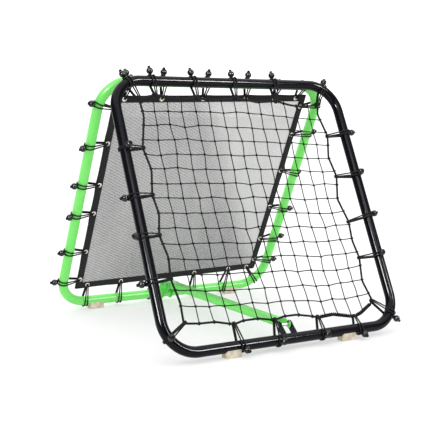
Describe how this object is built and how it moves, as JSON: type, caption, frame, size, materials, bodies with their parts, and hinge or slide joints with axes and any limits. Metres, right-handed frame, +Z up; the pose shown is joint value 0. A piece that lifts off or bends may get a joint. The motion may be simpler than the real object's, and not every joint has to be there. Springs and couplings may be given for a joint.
{
  "type": "pitch back rebounder",
  "caption": "Folding ball rebounder: an elastic-hung knotted net on one square tube frame, a woven mesh panel on the other, hinged at the top and held open by a strut.",
  "frame": {"origin": "on the floor, midway between the two frames, under the hinge line", "axes": "+X across the frames along the hinge line, +Y from the net frame towards the mesh frame, +Z up"},
  "size_m": [0.8621, 0.8223, 0.7706],
  "materials": {
    "black_frame": "gloss powder coat",
    "green_frame": "gloss powder coat",
    "zinc": "bright zinc plate",
    "foot_rubber": "matte",
    "net_twine": "knotted braid",
    "net_rope": "braided",
    "elastic_cord": "braided cover",
    "black_ball": "gloss",
    "mesh_fabric": "open weave",
    "webbing": "woven tape",
    "grommet": "nickel plated"
  },
  "bodies": {
    "net_frame": {"net_frame_upper_tube": "black_frame", "net_frame_lower_tube": "black_frame", "net_frame_joiners": "zinc", "net_frame_hinge_lugs": "black_frame", "net_frame_feet": "foot_rubber", "net": "net_twine", "net_border_rope": "net_rope", "net_bungee_cords": "elastic_cord", "net_bungee_balls": "black_ball", "catch_bracket": "black_frame", "catch_pin": "zinc", "catch_pin_nut": "zinc", "hinge_bolts": "zinc", "hinge_nuts": "zinc"},
    "mesh_frame": {"mesh_frame_upper_tube": "green_frame", "mesh_frame_lower_tube": "green_frame", "mesh_frame_joiners": "zinc", "mesh_frame_hinge_lugs": "green_frame", "mesh_frame_feet": "foot_rubber", "mesh_panel": "mesh_fabric", "mesh_border_webbing": "webbing", "mesh_grommets": "grommet", "mesh_bungee_cords": "elastic_cord", "mesh_bungee_balls": "black_ball"},
    "strut": {"strut_channel": "green_frame", "strut_swivel_plates": "green_frame", "strut_bolts": "zinc", "strut_nuts": "zinc"}
  },
  "joints": [
    {"name": "fold_hinge", "type": "hinge", "parent": "net_frame", "child": "mesh_frame", "pos_m": [0, 0, 0.72626], "axis": [1, 0, 0], "range_deg": [-52, 0]},
    {"name": "strut_swing", "type": "hinge", "parent": "mesh_frame", "child": "strut", "pos_m": [0, 0.36505, 0.027], "axis": [1, 0, 0], "range_deg": [0, 296]}
  ],
  "couplings": [
    {"joint": "strut_swing", "follows": "fold_hinge", "ratio": -5.6923}
  ]
}
